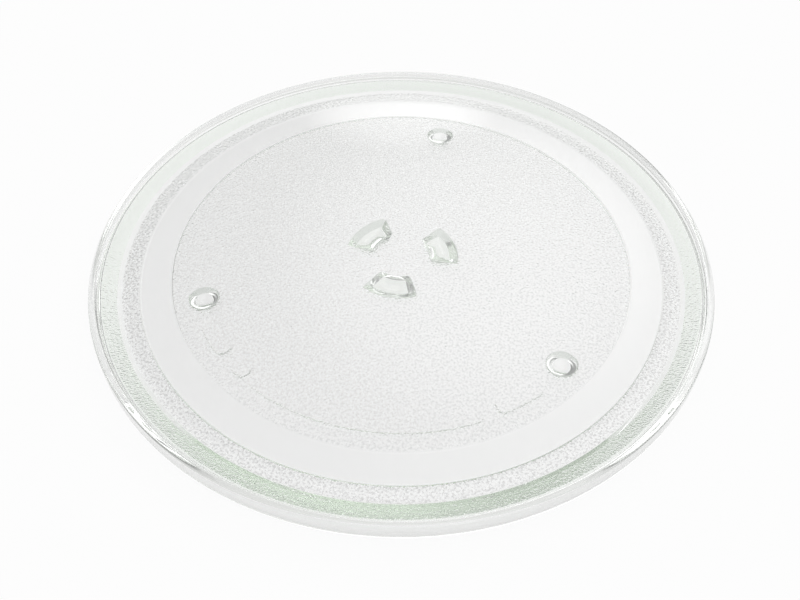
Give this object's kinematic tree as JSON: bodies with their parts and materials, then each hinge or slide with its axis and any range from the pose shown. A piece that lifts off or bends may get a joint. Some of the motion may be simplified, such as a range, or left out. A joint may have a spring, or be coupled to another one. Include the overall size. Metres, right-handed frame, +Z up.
{
  "type": "microwave turntable plate",
  "caption": "Round clear pressed-glass turntable plate with a low raised rim, a smooth roller track, tapered feet and drive lugs on its underside.",
  "frame": {"origin": "on the plate's axis, level with the ends of its feet", "axes": "+Z up out of the dished side, along the plate's axis; +Y through one foot, with a drive lug opposite it on -Y"},
  "size_m": [0.255, 0.255, 0.0131],
  "materials": {
    "glass": "clear pressed glass with a faint green tint, polished above, stippled below"
  },
  "bodies": {
    "root": {"turntable_plate": "glass"}
  },
  "joints": []
}
